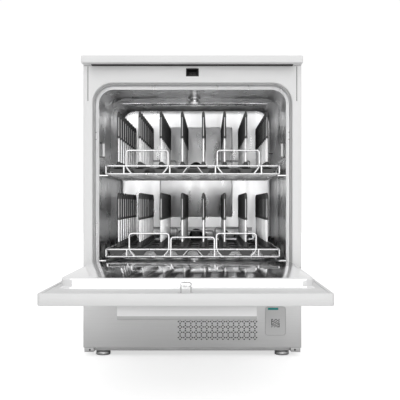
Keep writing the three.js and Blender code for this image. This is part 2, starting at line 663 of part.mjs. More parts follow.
function injectorRow(column, level) {
  const x = columnX(column);
  const base = level.tray + GAP;
  const tube = box(x - 5, x + 5, at(FIRST_ROW - 12), at(FIRST_ROW + (ROWS - 1) * PITCH + 12), base, base + 8);
  const nozzles = [];
  for (let row = 0; row < ROWS; row += 1) {
    const bottom = base + 4;
    const top = level.injectorTop;
    const shoulder = top - INJECTOR.tip;
    const profile = [[0, bottom], [INJECTOR.radius, bottom], [INJECTOR.radius, shoulder], [0, top]];
    nozzles.push(turned(profile, x, at(FIRST_ROW + row * PITCH), ROD_SIDES));
  }
  return join([tube, ...nozzles]);
}

function wheel(side, depth) {
  const [x0, x1] = [-1, 1].map((end) => side * WHEEL.x + (end * WHEEL.width) / 2);
  const [y, z] = [at(depth), WHEEL.z];
  const disc = rod([x0, y, z], [x1, y, z], WHEEL.radius, 16);
  return disc.subtract(rod([x0 - 1, y, z], [x1 + 1, y, z], WHEEL.bore, 8));
}

const lowerLevel = { ...LOWER, hoopNear: 68, hoopFar: 181, injectorTop: 305 + INJECTOR.height };
const upperLevel = { ...UPPER, hoopNear: 70, hoopFar: 190, injectorTop: 540 + INJECTOR.height };
const middleHoops = [RACK_FRONT, RACK_REAR].flatMap((depth) => (
  hoop(-62, 62, depth, LOWER.bottom, LOWER.middle, 0)));
const lowerRack = new THREE.Group();
const upperRack = new THREE.Group();
machine.add(lowerRack, upperRack);

addTo(lowerRack, 'lower_rack_frame', rackFrame(lowerLevel, [...middleHoops, ...axles()]), WIRE_STEEL);
addTo(lowerRack, 'lower_rack_tray', rackTray(lowerLevel), DARK);
addTo(upperRack, 'upper_rack_frame', rackFrame(upperLevel, []), WIRE_STEEL);
addTo(upperRack, 'upper_rack_tray', rackTray(upperLevel), DARK);
for (let column = 0; column < COLUMNS; column += 1) {
  addTo(lowerRack, `lower_injector_row_${column + 1}`, injectorRow(column, lowerLevel), STEEL);
  addTo(upperRack, `upper_injector_row_${column + 1}`, injectorRow(column, upperLevel), STEEL);
}
for (const [name, side] of [['left', -1], ['right', 1]]) {
  WHEEL_DEPTHS.forEach((depth, index) => {
    addTo(lowerRack, `lower_wheel_${name}_${index + 1}`, wheel(side, depth), DARK);
  });
}

export default machine;
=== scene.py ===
# Laboratory glassware washer, door open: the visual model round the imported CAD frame.
import json
from math import copysign, cos, pi, radians, sin

import bmesh
import bpy
from mathutils import Matrix, Vector
from mathutils.geometry import delaunay_2d_cdt

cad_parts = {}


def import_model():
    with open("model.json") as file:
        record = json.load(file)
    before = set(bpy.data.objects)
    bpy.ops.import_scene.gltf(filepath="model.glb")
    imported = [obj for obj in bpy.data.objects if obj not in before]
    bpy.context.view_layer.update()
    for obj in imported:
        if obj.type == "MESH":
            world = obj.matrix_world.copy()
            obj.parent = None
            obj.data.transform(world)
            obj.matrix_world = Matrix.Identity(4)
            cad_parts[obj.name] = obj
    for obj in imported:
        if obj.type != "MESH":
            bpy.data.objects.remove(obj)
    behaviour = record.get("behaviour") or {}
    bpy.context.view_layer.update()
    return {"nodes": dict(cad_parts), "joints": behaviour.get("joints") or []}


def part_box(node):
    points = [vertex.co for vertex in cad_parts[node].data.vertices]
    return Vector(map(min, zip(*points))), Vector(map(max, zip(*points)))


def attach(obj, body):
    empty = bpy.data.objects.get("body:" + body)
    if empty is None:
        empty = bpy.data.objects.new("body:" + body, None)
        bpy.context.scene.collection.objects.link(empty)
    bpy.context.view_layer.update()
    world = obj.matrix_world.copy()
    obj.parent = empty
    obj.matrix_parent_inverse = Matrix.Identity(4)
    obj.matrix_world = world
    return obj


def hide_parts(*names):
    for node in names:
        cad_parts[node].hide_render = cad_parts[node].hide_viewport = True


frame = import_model()
MM = 0.001
RIGHT, BACKWARD, UP = (1, 0, 0), (0, 1, 0), (0, 0, 1)

# ---- places taken from the frame, in metres ----
FRAME_LOW, FRAME_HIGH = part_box("front_frame")
TOP_LOW, TOP_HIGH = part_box("top_plate")
PANEL_LOW, PANEL_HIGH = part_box("lower_panel")
FRONT = FRAME_LOW[1]  # the body's front plane
HINGE = next(j for j in frame["joints"] if j["name"] == "door_hinge")["pos_m"]
FLOOR_ROOM = 0.225
CENTRE = Vector((0.0, FRONT + 0.312, 0.0))
FIRST_ROW, ROWS, PITCH = 63, 9, 61  # depths of the nozzles in a rack, in millimetres
COLUMNS = [(c - 3.5) * PITCH for c in range(8)]  # and where their rows stand across it
JOINT_X = 293  # the upright joints beside the lock, in millimetres
CONNECTIONS = (0.136, 0.196, 0.256)  # the three hose connections in the back
CONNECTION_HOLE = (0.070, 0.102)


def at(depth):
    """Y at a depth behind the body's front plane, in millimetres."""
    return FRONT + depth * MM


# ---- material helpers ----
def node_material(name, color, rough, metal):
    """A Principled material with the values that are the same all over it."""
    material = bpy.data.materials.new(name)
    material.use_nodes = True
    shader = material.node_tree.nodes["Principled BSDF"]
    shader.inputs["Base Color"].default_value = (*color, 1.0)
    shader.inputs["Roughness"].default_value = rough
    shader.inputs["Metallic"].default_value = metal
    return material, material.node_tree.nodes, material.node_tree.links, shader


def noise(nodes, links, scale, stretch=(1, 1, 1), detail=3.0):
    """Noise in the object's own metres, stretched along an axis."""
    place = nodes.new("ShaderNodeTexCoord")
    mapping = nodes.new("ShaderNodeMapping")
    mapping.inputs["Scale"].default_value = stretch
    links.new(place.outputs["Object"], mapping.inputs["Vector"])
    texture = nodes.new("ShaderNodeTexNoise")
    texture.inputs["Scale"].default_value = scale
    texture.inputs["Detail"].default_value = detail
    links.new(mapping.outputs["Vector"], texture.inputs["Vector"])
    return texture


def remap(nodes, links, source, **limits):
    """Carries a number from one range to another; limits that aren't stated are 0 and 1."""
    node = nodes.new("ShaderNodeMapRange")
    for key, value in limits.items():
        node.inputs[key.replace("_", " ")].default_value = value
    links.new(source, node.inputs["Value"])
    return node.outputs["Result"]


def vary(nodes, links, source, low, high, socket):
    """Drives a number between low and high from a texture."""
    spread = remap(nodes, links, source.outputs["Fac"], From_Min=0.3, From_Max=0.7, To_Min=low, To_Max=high)
    links.new(spread, socket)


def tint(nodes, links, source, dark, light, socket):
    """Drives a colour between two tones from a texture."""
    ramp = nodes.new("ShaderNodeValToRGB")
    ramp.color_ramp.elements[0].position = 0.3
    ramp.color_ramp.elements[1].position = 0.7
    ramp.color_ramp.elements[0].color = (*dark, 1)
    ramp.color_ramp.elements[1].color = (*light, 1)
    links.new(source.outputs["Fac"], ramp.inputs["Fac"])
    links.new(ramp.outputs["Color"], socket)


def bump(nodes, links, shader, source, strength, distance):
    node = nodes.new("ShaderNodeBump")
    node.inputs["Strength"].default_value = strength
    node.inputs["Distance"].default_value = distance
    links.new(source.outputs["Fac"], node.inputs["Height"])
    links.new(node.outputs["Normal"], shader.inputs["Normal"])


def coated(name, tone):
    """Light powder coat: an even tone with a very fine orange peel."""
    material, nodes, links, shader = node_material(name, (tone, tone, tone), 0.42, 0.0)
    soft = noise(nodes, links, 6.0)
    tint(nodes, links, soft, (tone * 0.985,) * 3, (tone * 1.01,) * 3, shader.inputs["Base Color"])
    peel = noise(nodes, links, 900.0)
    vary(nodes, links, soft, 0.38, 0.48, shader.inputs["Roughness"])
    bump(nodes, links, shader, peel, 0.05, 0.0002)
    return material


def brushed(name, tone, stretch, rough=0.34, metal=1.0):
    """Brushed stainless: long fine lines across one axis, with slow changes of tone."""
    material, nodes, links, shader = node_material(name, (tone, tone, tone), rough, metal)
    lines = noise(nodes, links, 260.0, stretch, 4.0)
    tint(nodes, links, lines, (tone * 0.9, tone * 0.9, tone * 0.905), (tone * 1.04,) * 3,
         shader.inputs["Base Color"])
    vary(nodes, links, lines, rough - 0.06, rough + 0.08, shader.inputs["Roughness"])
    bump(nodes, links, shader, lines, 0.12, 0.0002)
    return material


def polished(name, tone, rough, wave, metal=1.0):
    """Polished stainless with the slow waviness of pressed sheet."""
    material, nodes, links, shader = node_material(name, (tone, tone, tone * 1.005), rough, metal)
    slow = noise(nodes, links, 7.0, detail=2.0)
    smear = noise(nodes, links, 40.0, (1, 1, 0.3), 4.0)
    vary(nodes, links, smear, rough * 0.85, rough * 1.2, shader.inputs["Roughness"])
    bump(nodes, links, shader, slow, wave, 0.002)
    return material


def moulded(name, tone, rough=0.45, grain=0.1, gloss=0.5):
    """Moulded plastic or rubber with a fine spark-eroded grain."""
    material, nodes, links, shader = node_material(name, (tone, tone, tone * 1.02), rough, 0.0)
    shader.inputs["Specular IOR Level"].default_value = gloss
    fine = noise(nodes, links, 1400.0)
    soft = noise(nodes, links, 25.0)
    tint(nodes, links, soft, (tone * 0.88,) * 3, (tone * 1.1,) * 3, shader.inputs["Base Color"])
    vary(nodes, links, soft, rough - 0.05, rough + 0.08, shader.inputs["Roughness"])
    bump(nodes, links, shader, fine, grain, 0.0002)
    return material


def evenly(material, color):
    """Gives a material one colour all over."""
    tree = material.node_tree
    socket = tree.nodes["Principled BSDF"].inputs["Base Color"]
    for link in list(socket.links):
        tree.links.remove(link)
    socket.default_value = (*color, 1)
    return material


LID = coated("lid_coat", 0.79)
BODY = coated("body_coat", 0.79)
DOOR_COAT = coated("door_coat", 0.7)
# the grip takes a lighter copy of the body coat, painted light against the door's shadow over it; its lip
# takes a darker copy, painted shade under the lip
GRIP_PAINTED_LIGHT = coated("grip_coat_painted_light", 0.92)
GRIP_LIP_PAINTED_SHADE = coated("grip_lip_painted_shade", 0.55)
DOOR_INNER = brushed("door_inner_sheet", 0.72, (0.03, 1, 1), 0.5, 0.3)
LINER = polished("liner_mirror", 0.93, 0.09, 0.04)
CHAMBER = polished("chamber_polish", 0.97, 0.3, 0.05)
CHAMBER_LIP = polished("chamber_lip_polish", 0.95, 0.24, 0.05)
STEEL_X = brushed("brushed_across", 0.66, (0.03, 1, 1))
STEEL_Z = brushed("brushed_upright", 0.66, (1, 1, 0.03))
WIRE = polished("electropolished_wire", 0.9, 0.24, 0.02, 0.6)
BRIGHT = polished("nozzle_steel", 0.92, 0.2, 0.02, 0.6)
SLEEVE = moulded("sleeve_grey", 0.055, 0.4)
CORE = polished("sleeve_core", 0.5, 0.3, 0.05, 0.5)
TRAY = moulded("tray_grey", 0.072, 0.42)
WHEEL = moulded("wheel_grey", 0.07, 0.45)
BLACK = moulded("black_trim", 0.012, 0.4)
SEAL = moulded("seal_rubber", 0.03, 0.65, 0.2, 0.3)
SEAL_PALE = moulded("door_seal_grey", 0.6, 0.6, 0.2, 0.3)
# a dark grey standing for the shade inside the front joints: painted shade
JOINT_SHADE = moulded("joint_shadow", 0.12, 0.7, 0.1, 0.2)
STRIKER_WIRE = polished("striker_steel", 0.5, 0.25, 0.02)
ROLLER = moulded("roller_white", 0.85, 0.35)
GLASS_BLACK = moulded("display_glass", 0.008, 0.08, 0.0, 0.6)
CAST = moulded("cast_dark", 0.11, 0.5, 0.5)
ZINC = brushed("zinc_foot", 0.48, (1, 1, 1), 0.38)
PLATE = coated("plate_film", 0.62)
TEAL = evenly(moulded("teal_bar", 0.2, 0.5), (0.0, 0.27, 0.25))
INK = moulded("plate_ink", 0.05, 0.6)
INK_PALE = moulded("plate_rim", 0.3, 0.5)


def panel_steel():
    """Front service panel: brushed stainless whose base colour is painted darker towards the floor, a
    painted reflection of the floor and painted shade.
    """
    material, nodes, links, shader = node_material("panel_brushed_painted_shade", (0.6, 0.6, 0.6), 0.36, 0.25)
    place = nodes.new("ShaderNodeTexCoord")
    split = nodes.new("ShaderNodeSeparateXYZ")
    links.new(place.outputs["Object"], split.inputs["Vector"])
    # the colour ramp by height is painted shade and reflection: dark at the panel's foot, light at its top
    rise = remap(nodes, links, split.outputs["Z"], From_Min=PANEL_LOW[2], From_Max=PANEL_HIGH[2])
    ramp = nodes.new("ShaderNodeValToRGB")
    ramp.color_ramp.elements[0].color = (0.54, 0.54, 0.54, 1)
    ramp.color_ramp.elements[1].color = (0.93, 0.93, 0.93, 1)
    links.new(rise, ramp.inputs["Fac"])
    lines = noise(nodes, links, 260.0, (0.03, 1, 1), 4.0)
    streaks = remap(nodes, links, lines.outputs["Fac"], To_Min=0.95, To_Max=1.05)
    blend = nodes.new("ShaderNodeVectorMath")
    blend.operation = "SCALE"
    links.new(ramp.outputs["Color"], blend.inputs[0])
    links.new(streaks, blend.inputs["Scale"])
    links.new(blend.outputs["Vector"], shader.inputs["Base Color"])
    vary(nodes, links, lines, 0.3, 0.45, shader.inputs["Roughness"])
    bump(nodes, links, shader, lines, 0.1, 0.0002)
    return material


PANEL = panel_steel()


# ---- mesh helpers; places are in metres, profiles in millimetres ----
def add_object(name, data):
    """A new object in the scene."""
    made = bpy.data.objects.new(name, data)
    bpy.context.scene.collection.objects.link(made)
    return made


def finish_mesh(name, bm, materials, body, nodes=(), smooth=40):
    """Turns a bmesh into a piece that rides on a body, shaded smooth below an angle."""
    bmesh.ops.remove_doubles(bm, verts=bm.verts, dist=1e-6)
    bmesh.ops.recalc_face_normals(bm, faces=bm.faces)
    mesh = bpy.data.meshes.new(name)
    bm.to_mesh(mesh)
    bm.free()
    for material in materials:
        mesh.materials.append(material)
    piece = add_object(name, mesh)
    if smooth:
        mesh.shade_smooth()
        mesh.set_sharp_from_angle(angle=radians(smooth))
    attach(piece, body)
    if nodes:
        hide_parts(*nodes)
    return piece


def loft(bm, loops, caps=(True, True), material=0):
    """Quads between equal loops of points, with the two ends closed if asked."""
    made = [[bm.verts.new(point) for point in loop] for loop in loops]
    count = len(made[0])
    for first, second in zip(made, made[1:]):
        for i in range(count):
            j = (i + 1) % count
            bm.faces.new((first[i], first[j], second[j], second[i])).material_index = material
    for end, wanted in zip((made[0], made[-1]), caps):
        if wanted:
            bm.faces.new(end).material_index = material


def lathe(bm, profile, centre, axis, segments=20, material=0, way=1):
    """A solid of revolution from (radius, height) pairs in millimetres, running along axis or against it."""
    turn = Vector((0, 0, 1)).rotation_difference(Vector(axis)).to_matrix()
    rings = []
    for radius, height in profile:
        radius, height = radius * MM, height * way * MM
        if radius <= 0:
            rings.append([bm.verts.new(Vector(centre) + turn @ Vector((0, 0, height)))])
            continue
        spots = [2 * pi * k / segments for k in range(segments)]
        points = [Vector((radius * cos(a), radius * sin(a), height)) for a in spots]
        rings.append([bm.verts.new(Vector(centre) + turn @ p) for p in points])
    for first, second in zip(rings, rings[1:]):
        for k in range(segments):
            n = (k + 1) % segments
            if len(first) == 1 and len(second) == 1:
                continue
            if len(first) == 1:
                corners = (first[0], second[n], second[k])
            elif len(second) == 1:
                corners = (first[k], first[n], second[0])
            else:
                corners = (first[k], first[n], second[n], second[k])
            bm.faces.new(corners).material_index = material


def rounded(x0, x1, y0, y1, low, high, steps=12, inset=0):
    """A rectangle in its own plane, with one radius for its low corners and one for its high ones."""
    x0, x1, y0, y1 = x0 + inset, x1 - inset, y0 + inset, y1 - inset
    corners = [(x1 - low, y0 + low, low, -90), (x1 - high, y1 - high, high, 0),
               (x0 + high, y1 - high, high, 90), (x0 + low, y0 + low, low, 180)]
    points = []
    for cx, cy, radius, start in corners:
        for k in range(steps + 1):
            angle = radians(start + 90 * k / steps)
            points.append((cx + radius * cos(angle), cy + radius * sin(angle)))
    return points


def round_box(bm, low, high, edge, material=0):
    """A box with softened edges; the corners are in metres and the edge in millimetres."""
    (x0, y0, z0), (x1, y1, z1) = low, high
    edge *= MM
    loops = []
    for inset, z in ((edge, z0), (edge * 0.3, z0 + edge * 0.3), (0, z0 + edge),
                     (0, z1 - edge), (edge * 0.3, z1 - edge * 0.3), (edge, z1)):
        corner = max(edge, 1e-5)
        plan = rounded(x0, x1, y0, y1, corner, corner, 3, inset)
        loops.append([(x, y, z) for x, y in plan])
    loft(bm, loops, material=material)


def side_box(bm, side, inner, outer, low, high, edge):
    """A softened box on one side of the machine; low and high are its corners in depth and height."""
    x0, x1 = sorted((side * inner, side * outer))
    round_box(bm, (x0, *low), (x1, *high), edge)


def corners_of(first, second):
    """The low and high corners of the box between two points."""
    return [[pick(a, b) for a, b in zip(first, second)] for pick in (min, max)]


def middle(node):
    """The centre of a CAD node's box."""
    return [(a + b) / 2 for a, b in zip(*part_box(node))]


def fillet(points, radius, closed=False, steps=6):
    """Rounds the corners of a path of points."""
    points = [Vector(p) for p in points]
    made = []
    count = len(points)
    for i, corner in enumerate(points):
        if not closed and i in (0, count - 1):
            made.append(corner)
            continue
        before, after = points[i - 1], points[(i + 1) % count]
        a, b = (before - corner), (after - corner)
        reach = min(radius, a.length * 0.45, b.length * 0.45)
        start, end = corner + a.normalized() * reach, corner + b.normalized() * reach
        for k in range(steps + 1):
            t = k / steps
            made.append(start * (1 - t) ** 2 + corner * 2 * t * (1 - t) + end * t * t)
    return made


def wires(name, paths, radius, material, body, nodes=()):
    """Round wires along filleted paths, as one curve piece; a path is (points, closed)."""
    curve = bpy.data.curves.new(name, "CURVE")
    curve.dimensions = "3D"
    curve.bevel_depth = radius
    curve.bevel_resolution = 3
    curve.use_fill_caps = True
    for points, closed in paths:
        spline = curve.splines.new("POLY")
        spline.points.add(len(points) - 1)
        for spot, point in zip(spline.points, points):
            spot.co = (*point, 1.0)
        spline.use_cyclic_u = closed
    curve.materials.append(material)
    piece = add_object(name, curve)
    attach(piece, body)
    if nodes:
        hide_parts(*nodes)


def carve(piece, boxes, material=None):
    """Cuts boxes out of a piece, and gives it one material again if that is stated."""
    bm = bmesh.new()
    for box in boxes:
        low, high = map(Vector, box)
        place = Matrix.Translation((low + high) / 2) @ Matrix.Diagonal((*(high - low), 1))
        bmesh.ops.create_cube(bm, size=1.0, matrix=place)
    mesh = bpy.data.meshes.new("cutter")
    bm.to_mesh(mesh)
    bm.free()
    cutter = add_object("cutter", mesh)
    cutting = piece.modifiers.new("cut", "BOOLEAN")
    cutting.operation = "DIFFERENCE"
    cutting.object = cutter
    cutting.solver = "MANIFOLD"
    deps = bpy.context.evaluated_depsgraph_get()
    made = bpy.data.meshes.new_from_object(piece.evaluated_get(deps))
    piece.modifiers.clear()
    piece.data = made
    bpy.data.objects.remove(cutter)
    made.shade_smooth()
    made.set_sharp_from_angle(angle=radians(35))
    if material:
        made.materials.clear()
        made.materials.append(material)


def dress(node, material):
    """Gives a carried-over CAD node its material."""
    slots = frame["nodes"][node].data.materials
    slots.clear()
    slots.append(material)


# ---- cabinet ----
def lid():
    bm = bmesh.new()
    (x0, y0, z0), (x1, y1, _) = TOP_LOW, TOP_HIGH
    loops = []
    for inset, z in ((2.4, 0), (0.7, 0.5), (0, 2), (0, 17.6), (0.7, 19.4), (2.4, 20)):
        plan = rounded(x0, x1, y0, y1, 5 * MM, 3 * MM, 6, inset * MM)
        loops.append([(x, y, z0 + z * MM) for x, y in plan])
    loft(bm, loops)
    finish_mesh("lid", bm, [LID], "cabinet", ["top_plate"])
    bm = bmesh.new()
    round_box(bm, (-0.281, at(-17), z0 - 2.6 * MM), (0.281, at(-1), z0 - 0.1 * MM), 0.5)
    finish_mesh("lid_shadow_strip", bm, [SEAL], "cabinet")


def mouth(half, low, high, corner, depth, steps=16):
    """The door opening's outline at a depth, in millimetres."""
    plan = rounded(-half * MM, half * MM, low * MM, high * MM, 8 * MM, corner * MM, steps)
    return [(x, at(depth), z) for x, z in plan]


def front_frame():
    bm = bmesh.new()
    z0 = FRAME_LOW[2]
    x1, z1 = FRAME_HIGH[0] - 0.1 * MM, FRAME_HIGH[2] - 0.1 * MM
    steps = 16
    inner = mouth(283, 228, 769, 58.5, 0, steps)
    outer = []
    for corner in range(4):  # half of each round corner goes to each of the two edges that meet there
        arc = inner[corner * (steps + 1):(corner + 1) * (steps + 1)]
        (xa, _, za), (xb, _, zb) = arc[0], arc[-1]
        tip = (copysign(x1, xa), z1 if za > 0.5 else z0)
        start, end = ((xa, tip[1]), (tip[0], zb)) if corner % 2 == 0 else ((tip[0], za), (xb, tip[1]))
        for step in range(steps + 1):
            part = 2 * step / steps
            first, second = (start, tip) if part <= 1 else (tip, end)
            part -= part > 1
            outer.append(tuple(a + (b - a) * part for a, b in zip(first, second)))

    def edge(inset, depth):
        step = inset * MM
        return [(x - copysign(step, x), at(depth), z - copysign(step, z - 0.5)) for x, z in outer]

    outside = [edge(0, 24.7), edge(0, 2), edge(0.6, 0.5), edge(2, 0)]
    rim = [(283, 228, 769, 58.5, 0), (281.2, 228.6, 767.3, 57.2, 0.7), (280.2, 229, 766.2, 56.2, 2.4),
           (280, 229.2, 766, 56, 5), (280, 229.2, 766, 56, 24.7), (281.4, 227.8, 767.4, 57.4, 24.7),
           (281.4, 227.8, 767.4, 57.4, 5), (283.4, 226, 769.4, 59, 1.7)]
    inside = [edge(2.4, 1.7), edge(1.4, 3), edge(1.4, 24.7)]
    loops = outside + [mouth(*step, steps) for step in rim] + inside
    loft(bm, loops + loops[:1], caps=(False, False))
    piece = finish_mesh("front_surround", bm, [BODY], "cabinet", ["front_frame"])
    boxes = [(((s * JOINT_X - 1) * MM, at(-2), 0.714), ((s * JOINT_X + 1) * MM, at(1.3), 0.8125))
             for s in (-1, 1)]
    boxes.append(((-0.018, at(-2), 0.784), (0.018, at(6), 0.807)))
    boxes.append(((-0.31, at(-3), 0.2), (0.31, at(4.2), 0.249)))
    carve(piece, boxes, BODY)
    bm = bmesh.new()  # dark sheets in the two upright joints beside the lock, painted shade inside the joints
    for side in (-1, 1):
        low, high = (side * JOINT_X - 0.9) * MM, (side * JOINT_X + 0.9) * MM
        round_box(bm, (low, at(0.9), 0.715), (high, at(1.25), 0.812), 0.1)
    finish_mesh("front_joint_shade", bm, [JOINT_SHADE], "cabinet")
    bm = bmesh.new()  # the sill stands back from the front sheet
    round_box(bm, (-0.3044, at(4.2), 0.2135), (0.3044, at(5.7), 0.2288), 0.5)
    for side in (-1, 1):
        side_box(bm, side, 0.2816, 0.3044, (at(4.2), 0.2289), (at(5.7), 0.2496), 0.5)
    finish_mesh("front_sill", bm, [BODY], "cabinet")


def chamber():
    """The pressed tub: a rolled lip, a stepped wall with wide embossings, and the back wall."""
    def ring(half, low, top, corner, depth):
        return mouth(half, low, top, corner, depth, 12)

    profile = [(281, 227, 767, 57, 24.9), (272, 228, 757.5, 48, 24.9), (269, 228.5, 754.5, 45, 24.2),
               (266.6, 228.8, 751.6, 41.6, 23.6), (265, 229, 750, 40, 25), (265, 229, 750, 40, 31),
               (266, 228, 752, 42, 34), (268, 225, 763, 46, 40), (268, 225, 764.5, 46, 96),
               (271, 225, 767, 49, 104), (271, 225, 767, 49, 300), (268, 225, 764.5, 46, 308),
               (268, 225, 764.5, 46, 330), (271, 225, 767, 49, 338), (271, 225, 767, 49, 540),
               (268, 225, 764.5, 46, 548), (267, 226, 763, 48, 584), (262, 231, 758, 50, 596),
               (252, 241, 748, 50, 599.5)]
    bm = bmesh.new()
    loft(bm, [ring(*step) for step in profile], caps=(False, True))
    tub = finish_mesh("wash_tub", bm, [CHAMBER], "cabinet", ["chamber"], smooth=30)
    wall = tub.modifiers.new("wall", "SOLIDIFY")
    wall.thickness = 1.2 * MM
    wall.offset = -1 if tub.data.polygons[-1].normal.y < 0 else 1

    bm = bmesh.new()
    for side in (-1, 1):
        side_box(bm, side, 0.246, 0.2715, (at(27.5), 0.2622), (at(590), 0.2662), 0.6)
        side_box(bm, side, 0.246, 0.2475, (at(27.5), 0.256), (at(590), 0.2635), 0.5)
    round_box(bm, (-0.2, at(594.5), 0.304), (0.2, at(600.5), 0.343), 2)
    round_box(bm, (-0.13, at(595.5), 0.38), (0.13, at(600.5), 0.70), 4)
    finish_mesh("tub_fittings", bm, [CHAMBER], "cabinet")

    bm = bmesh.new()
    port = [(12, 0), (12, 7.8), (14, 8.4), (18, 7.4), (19, 5), (22, 4), (24, 1.8), (24, 0), (12, 0)]
    for z, depth in ((0.314, 594.6), (0.552, 597)):
        lathe(bm, port, (0, at(depth), z), BACKWARD, 28, way=-1)
    for x in (-0.105, 0.105):
        lathe(bm, [(0, 0), (9, 0), (9, 6), (6, 9), (0, 9)], (x, at(594.6), 0.324), BACKWARD, 16, way=-1)
    finish_mesh("docking_ports", bm, [SEAL], "cabinet")

    bm = bmesh.new()
    hub = [(0, 0), (20, 0), (20, 3), (14, 5), (12, 9), (12, 12.4), (0, 12.4)]
    lathe(bm, hub, (CENTRE.x, CENTRE.y, 0.7655), UP, 20, way=-1)
    low_hub = [(0, 0), (17, 0), (17, 3), (12, 6), (11, 20), (0, 20)]
    lathe(bm, low_hub, (CENTRE.x, CENTRE.y, FLOOR_ROOM + 0.0005), UP, 20)
    finish_mesh("spray_hubs", bm, [CHAMBER_LIP], "cabinet")

    bm = bmesh.new()  # two screws on each side of the reveal
    for side in (-1, 1):
        for z in (0.629, 0.609):
            head = [(0, 0), (2.4, 0), (2.4, 0.6), (1.8, 1.2), (0, 1.4)]
            lathe(bm, head, (side * 0.2735, at(24.7), z), BACKWARD, 12, way=-1)
    finish_mesh("reveal_screws", bm, [STEEL_Z], "cabinet")


def rack_guides():
    """White upright rollers with black brackets near the front of the side walls."""
    white, black = bmesh.new(), bmesh.new()
    for side in (-1, 1):
        x = side * 0.2575
        for depth in (62, 520):
            roll = [(0, 0), (3.4, 0), (3.8, 1.2), (3.8, 36.8), (3.4, 38), (0, 38)]
            lathe(white, roll, (x, at(depth), 0.5625), UP, 14)
            for low, high in ((0.5602, 0.5622), (0.6008, 0.603)):
                side_box(black, side, 0.2545, 0.2672, (at(depth - 5), low), (at(depth + 5), high), 0.5)
    finish_mesh("guide_rollers", white, [ROLLER], "cabinet")
    finish_mesh("guide_brackets", black, [BLACK], "cabinet")
    rails = bmesh.new()
    for side in (-1, 1):
        wall, web, lip = side * 267.6, side * 265.9, side * 243.2
        section = [(wall, 506.8), (wall, 559.5), (web, 560), (web, 510.2), (side * 264.4, 508.7),
                   (side * 245, 508.7), (side * 244.2, 509.3), (lip, 509.0), (lip, 507.2),
                   (side * 244, 506.8)]
        loft(rails, [[(x * MM, at(depth), z * MM) for x, z in section] for depth in (40, 590)])
    finish_mesh("upper_runners", rails, [CHAMBER_LIP], "cabinet",
                ["upper_rail_left", "upper_rail_right"])


def gasket():
    path = mouth(277.6, 231.2, 763.8, 53.8, 21.8, 14)
    wires("door_seal", [(path, True)], 1.7 * MM, SEAL_PALE, "cabinet", ["door_gasket"])


def lock():
    bm = bmesh.new()
    low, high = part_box("lock_housing")
    front = low[1]
    (x0, _, z0), (x1, _, z1) = low, high

    def frame_loop(inset, y):
        return [(x, y, z) for x, z in rounded(x0, x1, z0, z1, 1.2 * MM, 1.2 * MM, 3, inset)]

    loft(bm, [frame_loop(0, high[1]), frame_loop(0, front + 0.6 * MM), frame_loop(0.5 * MM, front),
              frame_loop(2.4 * MM, front), frame_loop(3 * MM, front + 1 * MM),
              frame_loop(3.2 * MM, front + 37 * MM)])
    near, far = front + 21 * MM, front + 38 * MM
    for low_x, high_x in ((x0 + 9 * MM, x0 + 15 * MM), (x1 - 15 * MM, x1 - 9 * MM)):
        round_box(bm, (low_x, near, z0 + 5 * MM), (high_x, far, z1 - 6 * MM), 0.8)
    near, far = front + 26 * MM, front + 37 * MM
    round_box(bm, (x0 + 3.4 * MM, near, z0 + 4 * MM), (x1 - 3.4 * MM, far, z1 - 8 * MM), 1)
    finish_mesh("door_lock", bm, [BLACK], "cabinet", ["lock_housing"])


def service_panel():
    """Front sheet with a field of round holes, set in fours, and folded edges."""
    (x0, y0, z0), (x1, _, z1) = PANEL_LOW, PANEL_HIGH
    plan = rounded(x0 + 1.4 * MM, x1 - 1.4 * MM, z0 + 1.4 * MM, z1 - 0.6 * MM, 2.2 * MM, 1.2 * MM, 4)
    holes = []
    pitch, reach, radius, sides = 0.015, 0.0046, 0.00215, 14
    for column in range(15):
        for row in range(4):
            cx, cz = 0.0705 + (column - 7) * pitch, 0.0736 + (row - 1.5) * pitch
            for dx, dz in ((reach, 0), (-reach, 0), (0, reach), (0, -reach)):
                holes.append((cx + dx, cz + dz))
    points = [Vector(p) for p in plan]
    edges = [(i, (i + 1) % len(plan)) for i in range(len(plan))]
    for cx, cz in holes:
        start = len(points)
        for k in range(sides):
            angle = 2 * pi * k / sides
            points.append(Vector((cx + radius * cos(angle), cz + radius * sin(angle))))
            edges.append((start + k, start + (k + 1) % sides))
    made, _, faces, *_ = delaunay_2d_cdt(points, edges, [], 1, 1e-7)
    bm = bmesh.new()
    verts = [bm.verts.new((p.x, y0, p.y)) for p in made]
    for face in faces:
        centre = sum((made[i] for i in face), Vector((0, 0))) / len(face)
        near = min((centre.x - cx) ** 2 + (centre.y - cz) ** 2 for cx, cz in holes)
        if near > (radius * 0.999) ** 2 * 0.9:  # leaves out the faces that fill a hole
            bm.faces.new([verts[i] for i in face])
    sheet = bmesh.ops.extrude_face_region(bm, geom=bm.faces[:])
    moved = [v for v in sheet["geom"] if isinstance(v, bmesh.types.BMVert)]
    bmesh.ops.translate(bm, verts=moved, vec=(0, 1.2 * MM, 0))
    finish_mesh("service_panel", bm, [PANEL], "cabinet", ["lower_panel"], smooth=30)
    bm = bmesh.new()
    loops = []
    for inset, depth in ((1.4, 0.02), (0.5, 0.4), (0, 1.6), (0, 20)):
        edge = rounded(x0 + inset * MM, x1 - inset * MM, z0 + inset * MM, z1 - inset * 0.4 * MM,
                       2.2 * MM, 1.2 * MM, 4)
        loops.append([(x, y0 + depth * MM, z) for x, z in edge])
    loft(bm, loops, caps=(False, False))
    fold = finish_mesh("service_panel_folds", bm, [PANEL], "cabinet", smooth=50)
    thick = fold.modifiers.new("sheet", "SOLIDIFY")
    thick.thickness = 1.0 * MM
    thick.offset = -1
    # a black sheet just behind the field of holes: painted shade seen through them
    bm = bmesh.new()
    round_box(bm, (-0.06, at(2.6), 0.03), (0.2, at(4.2), 0.115), 0.5)
    finish_mesh("vent_shade_sheet", bm, [BLACK], "cabinet")


